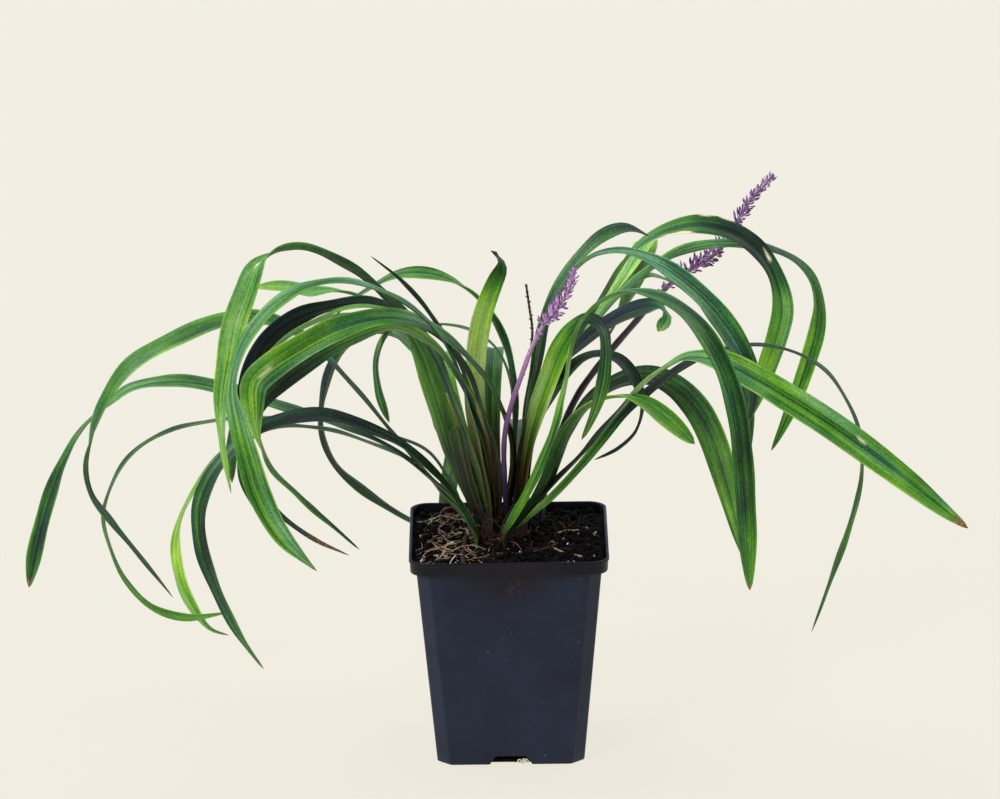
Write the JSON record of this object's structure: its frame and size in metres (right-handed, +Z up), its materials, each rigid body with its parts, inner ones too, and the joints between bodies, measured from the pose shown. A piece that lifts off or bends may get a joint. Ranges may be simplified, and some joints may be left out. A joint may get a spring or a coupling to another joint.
{
  "type": "potted liriope",
  "caption": "Lilyturf with arching strap leaves and slender spikes of violet buds, standing in the soil of a square dark plastic growing pot.",
  "frame": {"origin": "middle of the pot's foot, on the surface it stands on", "axes": "+Z up, X and Y square to the pot's sides, -Y the side with the front flower spike"},
  "size_m": [0.4282, 0.2542, 0.2519],
  "materials": {
    "pot_plastic": "dark slate blue polypropylene, thin-walled, dusty and slightly scuffed",
    "soil": "damp dark brown potting soil with fibres and pale crumbs",
    "roots": "pale tan wiry roots",
    "leaf": "dark green strap leaf, parallel-veined, satin, yellower where light comes through",
    "flower_stalk": "purple-brown smooth stalk",
    "flower_bud": "matt lilac buds with violet tips",
    "dry_stalk": "dry dark brown stalk with scars"
  },
  "bodies": {
    "root": {"pot": "pot_plastic", "soil": "soil", "surface_roots": "roots", "shoot_left_low": "leaf", "shoot_left_high": "leaf", "shoot_back": "leaf", "shoot_right_low": "leaf", "shoot_right_high": "leaf", "shoot_right_back": "leaf", "flower_stalk_front": "flower_stalk", "flower_spike_front": "flower_bud", "flower_stalk_tall": "flower_stalk", "flower_spike_tall": "flower_bud", "spent_stalk": "dry_stalk"}
  },
  "joints": []
}
